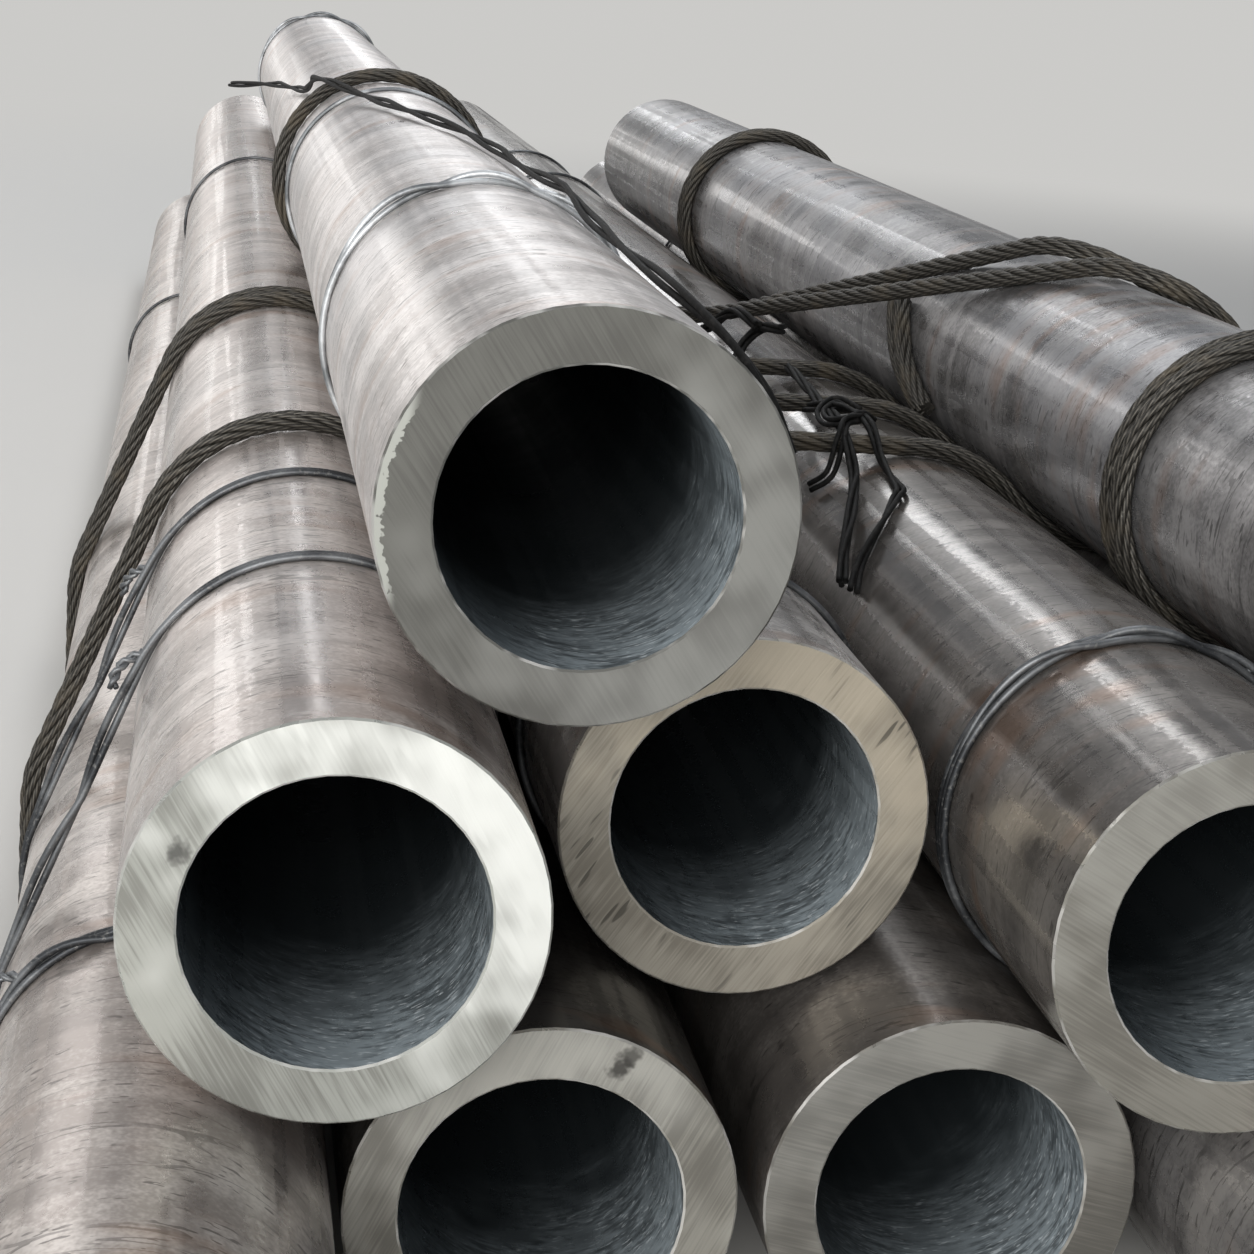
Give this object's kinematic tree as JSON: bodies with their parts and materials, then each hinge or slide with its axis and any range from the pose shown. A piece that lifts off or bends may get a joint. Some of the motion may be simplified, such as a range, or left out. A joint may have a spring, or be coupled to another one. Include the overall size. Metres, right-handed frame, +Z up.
{
  "type": "bundle of steel pipes",
  "caption": "Stack of thick-walled seamless steel pipes lying on the floor in layers, bound with soft iron tie wires and wire rope slings.",
  "frame": {"origin": "on the floor, under the middle of the stack's box", "axes": "+Y along the pipes, away from their staggered near ends; +X to the right seen from the near ends; +Z up"},
  "size_m": [1.5646, 6.015, 0.7799],
  "materials": {
    "pipe_steel": "satin mill scale with sawn bright ends",
    "tie_wire": "annealed iron wire, dull",
    "wire_rope": "greased and weathered stranded rope"
  },
  "bodies": {
    "root": {"pipe_floor_1": "pipe_steel", "pipe_floor_2": "pipe_steel", "pipe_floor_3": "pipe_steel", "pipe_floor_4": "pipe_steel", "pipe_floor_5": "pipe_steel", "pipe_middle_1": "pipe_steel", "pipe_middle_2": "pipe_steel", "pipe_middle_3": "pipe_steel", "pipe_middle_4": "pipe_steel", "pipe_top_1": "pipe_steel", "pipe_top_2": "pipe_steel", "rope_loops_top_1": "wire_rope", "rope_loops_top_2": "wire_rope", "sling_1": "wire_rope", "sling_2": "wire_rope", "sling_3": "wire_rope", "sling_4": "wire_rope", "sling_5": "wire_rope", "ties_floor_1": "tie_wire", "ties_left_pair": "tie_wire", "ties_middle_1": "tie_wire", "ties_middle_2": "tie_wire", "ties_middle_3": "tie_wire", "ties_middle_4": "tie_wire", "ties_top_1": "tie_wire"}
  },
  "joints": []
}
